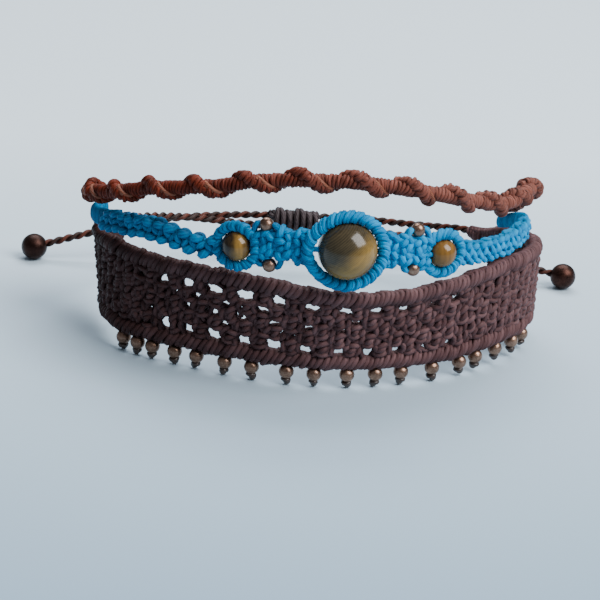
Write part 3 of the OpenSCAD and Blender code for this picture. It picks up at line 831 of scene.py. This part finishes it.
# The bare threads, two side by side, each from one ridge to the next
for k in range(-14, 15):
    shake = floats.chance.uniform(0, 1, 3)
    top = ridge_top + k * ridge_turn
    for off in (0.82, 1.2):
        reach = np.linspace(0.35 + 0.3 * shake[0], 2.5 + 0.5 * shake[1], 14)
        s = top + ridge_turn * reach / (2 * math.pi) + off
        if s[0] < s_from + 1 or s[-1] > s_to - 1 or (k > 1 and shake[2] < 0.5):
            continue
        t = np.linspace(-1, 1, 14)
        at = on_upper(s, reach, body_r * stout(s) + 0.4 - 0.4 * t ** 4)
        floats.lay(at, 0.28, 7, out=at - on_upper(s, reach, np.zeros(14)))
floats.piece("upper_floats", tan_thread, "chestnut_thread", "upper_strand")


# Middle strand. Blue thread is knotted over a core: flat bars of square knots, a knotted ring
# round each stone, and bridges between the rings. The last stretch is only wrapped.
middle_along, middle_angles = scale_of(MIDDLE)
# The drift colours are painted paler towards the right, where more light falls
blue_thread = waxed_thread(
    "blue_thread", tone(0, 62, 104), tone(0, 108, 160), tone(8, 180, 230),
    drift=(tone(0, 104, 158), tone(0, 160, 218)), front=0.76, shine=0.06, painted_shade_floor=0.4)
left_ring, right_ring = -27.5, 28.1
left_stone, middle_stone, right_stone = 4.15, 8.0, 3.95
ring_gap = 0.15
# The angles at which the knots of the bars end, and the wrapped stretches after them
bar_end, wrapped_end = 77, 107
bar_wrap_r, bar_wrap_step = 0.3, 0.46
blue = Skein(61)


def on_middle(s, rise, depth):
    """A point of the strand: distance along it, height over it, distance outwards."""
    angle = np.interp(s, middle_along, middle_angles)
    return (on_row(MIDDLE, angle) + np.asarray(rise, float)[..., None] * np.array((0, 0, 1.0))
            + np.asarray(depth, float)[..., None] * outward(MIDDLE, angle))


def round_stone(angle, x, rise, depth, swing=0.0):
    """A point in the plane of a ring that is set along the strand, or swung a little out of it."""
    out = outward(MIDDLE, angle)
    across = np.array((-out[1], out[0], 0))
    out, across = (math.cos(swing) * out - math.sin(swing) * across,
                   math.cos(swing) * across + math.sin(swing) * out)
    x, rise, depth = (np.asarray(part, float)[..., None] for part in (x, rise, depth))
    return on_row(MIDDLE, angle) + x * across + rise * np.array((0, 0, 1.0)) + depth * out


def knotted_ring(angle, stone, rope, pairs, thread, slim, forward, tilt, swing=0.0, slack=0.0):
    """Hitches round a core ring, each of two wraps that bulge together.

    rope is the ring's thickness, slim how much of it is missing at the sides, forward how far it
    stands in front of the stone's middle, tilt the slant of the wraps, and slack how far the ring
    stands off the stone at its left side."""
    def middle_of_rope(a):
        return stone / 2 - 0.02 + rope / 2 + slack * math.e ** -((a - math.pi) / 0.6) ** 2
    for i in range(2 * pairs):
        shake = blue.chance.normal(0, 1, 3)
        a = math.pi * (i + (0.16 if i % 2 else -0.16) + 0.06 * shake[0]) / pairs
        half = (rope / 2 + 0.06 - slim * math.cos(a) ** 2 - thread) * (1.06 if i % 2 else 0.96)
        half *= 1 + 0.04 * shake[1]
        w = np.linspace(0, 2 * math.pi, 12, endpoint=False)
        r = middle_of_rope(a)
        reach = r + half * np.cos(w)
        lean = a + 0.42 / r * np.sin(w) * np.where(np.sin(w) > 0, 1, 0.5) + tilt / r * np.cos(w)
        wrap = round_stone(angle, reach * np.cos(lean), reach * np.sin(lean),
                           forward + half * np.sin(w), swing)
        blue.lay(wrap, thread, 6, closed=True)
    a = np.linspace(0, 2 * math.pi, 48, endpoint=False)
    r = middle_of_rope(a)
    core = round_stone(angle, r * np.cos(a), r * np.sin(a), 0 * a + forward, swing)
    # The core ring under the wraps gets painted shade
    blue.lay(core, rope / 2 - 0.17, 8, closed=True, light=0.7)
    x = np.linspace(-middle_of_rope(math.pi), middle_of_rope(0), 6)
    blue.lay(round_stone(angle, x, 0 * x, 0 * x), 0.38, 8)


knotted_ring(left_ring, left_stone, rope=1.5, pairs=14, thread=0.35,
             slim=0.1, forward=0.25, tilt=0.1)
knotted_ring(0.0, middle_stone, rope=1.75, pairs=26, thread=0.37,
             slim=0.05, forward=0.3, tilt=-0.35, slack=0.6)
knotted_ring(right_ring, right_stone, rope=1.6, pairs=16, thread=0.33,
             slim=0.12, forward=0.15, tilt=-0.3, swing=0.17)


def knots(lumps, s0, mirror, size=1.0):
    """The lumps that are seen of one knot, in front and behind."""
    def put(x, y, depth):
        return on_middle(s0 + mirror * x, y, depth)
    for side in (1, -1):
        for x, y, length, slant, fat, lift, bow in lumps:
            shake = blue.chance.normal(0, 1, 4)
            arch(blue, put, x * size + 0.09 * shake[0], y * size + 0.09 * shake[1],
                 length * size * (1 + 0.07 * shake[2]), slant + 15 * shake[3],
                 fat * (1.03 + 0.06 * shake[2]), lift + 0.07 * shake[3], bow * size, side)


# What is seen of one crossing of a bridge: x, y, length, slant, half thickness, height, bow
BRIDGE_KNOT = (
    (-0.5, 1.62, 1.45, 62, 0.48, 0.56, 0.14),
    (-0.55, 0.58, 1.4, -52, 0.48, 0.66, 0.1),
    (-0.45, -0.52, 1.4, 50, 0.48, 0.62, -0.1),
    (-0.5, -1.56, 1.45, -64, 0.48, 0.56, -0.14),
    (0.45, 1.14, 1.45, -48, 0.48, 0.6, 0.1),
    (0.42, 0.02, 1.35, 72, 0.48, 0.68, 0.0),
    (0.45, -1.1, 1.45, 48, 0.48, 0.6, -0.1),
    (0.0, 1.86, 1.2, 8, 0.44, 0.3, 0.2),
    (0.0, -1.86, 1.2, -8, 0.44, 0.3, -0.2),
)
BRIDGE_TIE = ((-0.3, 1.42, 1.2, 35, 0.42, 0.5, 0.1), (-0.3, -1.42, 1.2, -35, 0.42, 0.5, -0.1))


def bridge(small_end, big_end):
    """Three crossings of knots between a small ring and the big one, over five core threads."""
    s_small, s_big = (np.interp(a, middle_angles, middle_along) for a in (small_end, big_end))
    mirror = 1 if s_big > s_small else -1
    for i, size in enumerate((0.92, 0.95, 1.02)):
        knots(BRIDGE_KNOT, s_small + (s_big - s_small) * (i + 0.5) / 3, mirror, size)
    knots(BRIDGE_TIE, s_small, mirror)
    # The core threads under the knots get painted shade
    for rise in (-1.5, -0.75, 0, 0.75, 1.5):
        s = np.linspace(s_small, s_big, 8)
        blue.lay(on_middle(s, rise * np.linspace(0.8, 1, 8), np.zeros(8)), 0.62, 8, light=0.75)


bridge(-21.6, -9.0)
bridge(21.9, 9.0)
# From each small ring a pair of threads goes through each of its two copper beads into the bridge
beside_bead = 1.3
landing_angle, landing_rise = 15.6, 1.2
for angle, rise in ((-20.1, 2.7), (-18.6, -3.05), (19.2, 2.9), (18.8, -2.7)):
    side = math.copysign(1, angle)
    ring_angle, stone = (left_ring, left_stone) if side < 0 else (right_ring, right_stone)
    bead = on_row(MIDDLE, angle) + (0, 0, rise)
    out = outward(MIDDLE, angle)
    across = np.array((-out[1], out[0], 0))
    centre = on_row(MIDDLE, ring_angle)
    away = bead - centre
    away = away / np.linalg.norm(away) * (stone / 2 + ring_gap + 0.75)
    landing = on_row(MIDDLE, side * landing_angle) + (0, 0, math.copysign(landing_rise, rise))
    for shift in (-0.2, 0.2):
        aside, outside = side * beside_bead * across, shift * out
        route = smooth([centre + away + outside, bead + aside + outside, bead,
                        bead - aside + outside, landing + outside], 4)
        clear = np.clip(np.linalg.norm(route - bead, axis=1) - 0.75, 0, 0.4)
        blue.lay(route, 0.2 + 0.5 * clear, 6, out=out)

# The knots of the bars, with x for a pitch of 1: loose at the left, tight at the right
LOOSE_SINNET = (
    (0.0, 0.68, 1.45, 8, 0.62, 0.54, 0.2),
    (0.5, -0.84, 1.45, -8, 0.64, 0.72, -0.2),
    (0.22, 0.1, 1.5, 50, 0.46, 0.5, 0.0),
    (0.72, -0.1, 1.5, -50, 0.46, 0.5, 0.0),
)
TIGHT_SINNET = (
    (0.0, 0.86, 1.25, 24, 0.44, 0.5, 0.3),
    (0.5, -0.86, 1.25, -24, 0.44, 0.5, -0.3),
    (0.25, 0.2, 1.4, 62, 0.4, 0.62, 0.0),
    (0.75, -0.2, 1.4, -62, 0.4, 0.6, 0.0),
)


def knotted_bar(side, start, knot, wide, narrow):
    """A flat sinnet of square knots, whose loops stand out at both edges by turns.

    The pitch of its knots goes from wide at the ring to narrow."""
    bend = abs(np.interp(side * bar_end, middle_angles, middle_along))
    s = start
    while s < bend + 0.5:
        share = min((s - start) / 9, 1)
        pitch = wide + (narrow - wide) * share
        knots([(x * pitch, *rest) for x, *rest in knot], side * s, side)
        s += pitch
    stop = abs(np.interp(side * wrapped_end, middle_angles, middle_along))
    # The core threads under the knots get painted shade
    for rise in (-0.55, 0, 0.55):
        s = np.linspace(start - 1, bend + 1, 30)
        blue.lay(on_middle(side * s, np.full(30, rise), np.zeros(30)), 0.48, 8, light=0.7)
    # The last stretch is only wrapped, turn beside turn, and gets narrower towards the lace band
    turned = np.linspace(0, 2 * math.pi, 14, endpoint=False)
    for s in np.arange(bend - 0.2, stop, bar_wrap_step):
        share = (s - bend) / (stop - bend)
        shake = blue.chance.normal(0, 1, 2)
        along = side * (s + 0.1 * shake[0] * np.cos(turned))
        rise = (1.22 - 0.42 * share) * np.cos(turned)
        depth = (0.42 + 0.03 * shake[1]) * np.sin(turned)
        blue.lay(on_middle(along, rise, depth), bar_wrap_r, 6, closed=True)
    # The core threads under the wraps get painted shade
    s = np.linspace(bend - 1.5, stop, 22)
    narrower = 1 - 0.3 * np.clip((s - bend) / (stop - bend), 0, 1)
    for rise in (-0.5, 0.0, 0.5):
        blue.lay(on_middle(side * s, rise * narrower, 0 * s), 0.4, 6, light=0.6)


left_start = abs(np.interp(left_ring, middle_angles, middle_along)) + 3.4
right_start = np.interp(right_ring, middle_angles, middle_along) + 3.2
knotted_bar(-1, left_start, LOOSE_SINNET, 2.4, 1.8)
knotted_bar(1, right_start, TIGHT_SINNET, 1.5, 1.4)
blue.piece("middle_knots", blue_thread, "blue_thread", "middle_strand")


# Stones. They are round beads of banded silky stone, polished; the bands turn golden where they
# catch the light, and that golden band is painted into their colour: partly the stone's own tone,
# partly a painted sheen. Each is held by the core thread that goes through it.
def banded_stone(name, centre, turned, dark, plain, gold, band_scale, gold_from, gold_to, edge=4):
    """Fine bands in dark and plain, and one broad golden one.

    gold_from and gold_to say where it lies across the stone, in parts of 4 mm; a small edge lets
    it fade out slowly."""
    recipe = Recipe(name)
    place = recipe.node("ShaderNodeMapping", {"vector_type": "POINT"}, {
        "Vector": recipe.place(), "Location": tuple(-c for c in centre)})
    place = recipe.node("ShaderNodeVectorRotate", {"rotation_type": "Y_AXIS"}, {
        "Vector": place, "Angle": turned})
    x = recipe.apart(place)[0]
    drift = recipe.noise(260, place, 3.0)
    fine = recipe.node("ShaderNodeTexWave", {"bands_direction": "X"}, {
        "Vector": place, "Scale": band_scale, "Distortion": 1.6, "Detail": 3.0, "Detail Scale": 3.0,
    }, "Fac")
    silk = recipe.noise(2600, recipe.node("ShaderNodeVectorMath", {"operation": "MULTIPLY"}, {
        0: place, 1: (1.0, 1.0, 0.16)}), 2.0)
    across = x / (4 * MM) + (drift - 0.5) * 0.7
    band = ((across - gold_from) * edge).clamp() * ((gold_to - across) * edge).clamp()
    colour = recipe.mix((fine * 0.4 + silk * 0.8 - 0.1).clamp(), dark, plain)
    # The broad golden band: partly the stone's own tone, partly a painted sheen where it catches
    # light
    colour = recipe.mix((band * (0.35 + silk * 0.65 + fine * 0.2)).clamp(), colour, gold)
    return recipe.done(
        Base_Color=colour, Roughness=(0.12 + 0.1 * silk).clamp(), Specular_IOR_Level=0.38,
        Normal=recipe.bump(silk, 0.06, 0.00003),
    )


def stone_centre(angle):
    return tuple(float(c) * MM for c in on_row(MIDDLE, angle))


dress("stone_left", banded_stone(
    "stone_left_bands", stone_centre(left_ring), 0.08, tone(22, 15, 9), tone(58, 42, 22),
    tone(150, 114, 52), band_scale=420, gold_from=-0.22, gold_to=0.42))
dress("stone_middle", banded_stone(
    "stone_middle_bands", stone_centre(0.0), -0.85, tone(34, 30, 22), tone(82, 71, 50),
    tone(144, 113, 54), band_scale=1300, gold_from=-0.35, gold_to=1.1, edge=1.6))
dress("stone_right", banded_stone(
    "stone_right_bands", stone_centre(right_ring), 0.05, tone(58, 36, 14), tone(96, 64, 28),
    tone(126, 90, 40), band_scale=420, gold_from=-0.5, gold_to=0.6))


# Table and light. A pale blue-grey table top, darker and bluer towards the front with painted
# shade, a big soft window in front on the right, and light from the room all round.
bpy.ops.mesh.primitive_plane_add(size=4, location=(0, 0, 0))
floor = bpy.context.object
floor.name = "table_top"
recipe = Recipe("table_paint")
cloud = recipe.noise(5, recipe.place(), 2.0)
y = recipe.apart(recipe.place())[1]
# Painted shade: the table top darkens towards the front, with a soft cloudy edge
painted_shade_front = (y * 6 + 0.48 + (cloud - 0.5) * 0.2).clamp()
floor.data.materials.append(recipe.done(
    Base_Color=recipe.mix(painted_shade_front, tone(130, 157, 178), tone(202, 219, 230)), Roughness=0.7))


def window(name, place, aim, size, watts, colour):
    bpy.ops.object.light_add(type="AREA", location=place)
    light = bpy.context.object
    light.name = name
    light.data.shape = "RECTANGLE"
    light.data.size, light.data.size_y = size
    light.data.energy = watts
    light.data.color = colour
    light.rotation_euler = (Vector(aim) - Vector(place)).to_track_quat("-Z", "Y").to_euler()


window("window_light", (0.42, -0.3, 0.62), (0, 0, 0.01), (0.54, 0.62), 12.2, (1.0, 0.985, 0.97))
window("room_light", (0.1, 0.5, 0.9), (0, 0, 0), (0.9, 0.6), 13, (0.95, 0.97, 1.0))
world = bpy.data.worlds.new("room")
bpy.context.scene.world = world
world.use_nodes = True
world.node_tree.nodes["Background"].inputs["Color"].default_value = (0.86, 0.92, 1.0, 1)
world.node_tree.nodes["Background"].inputs["Strength"].default_value = 0.28
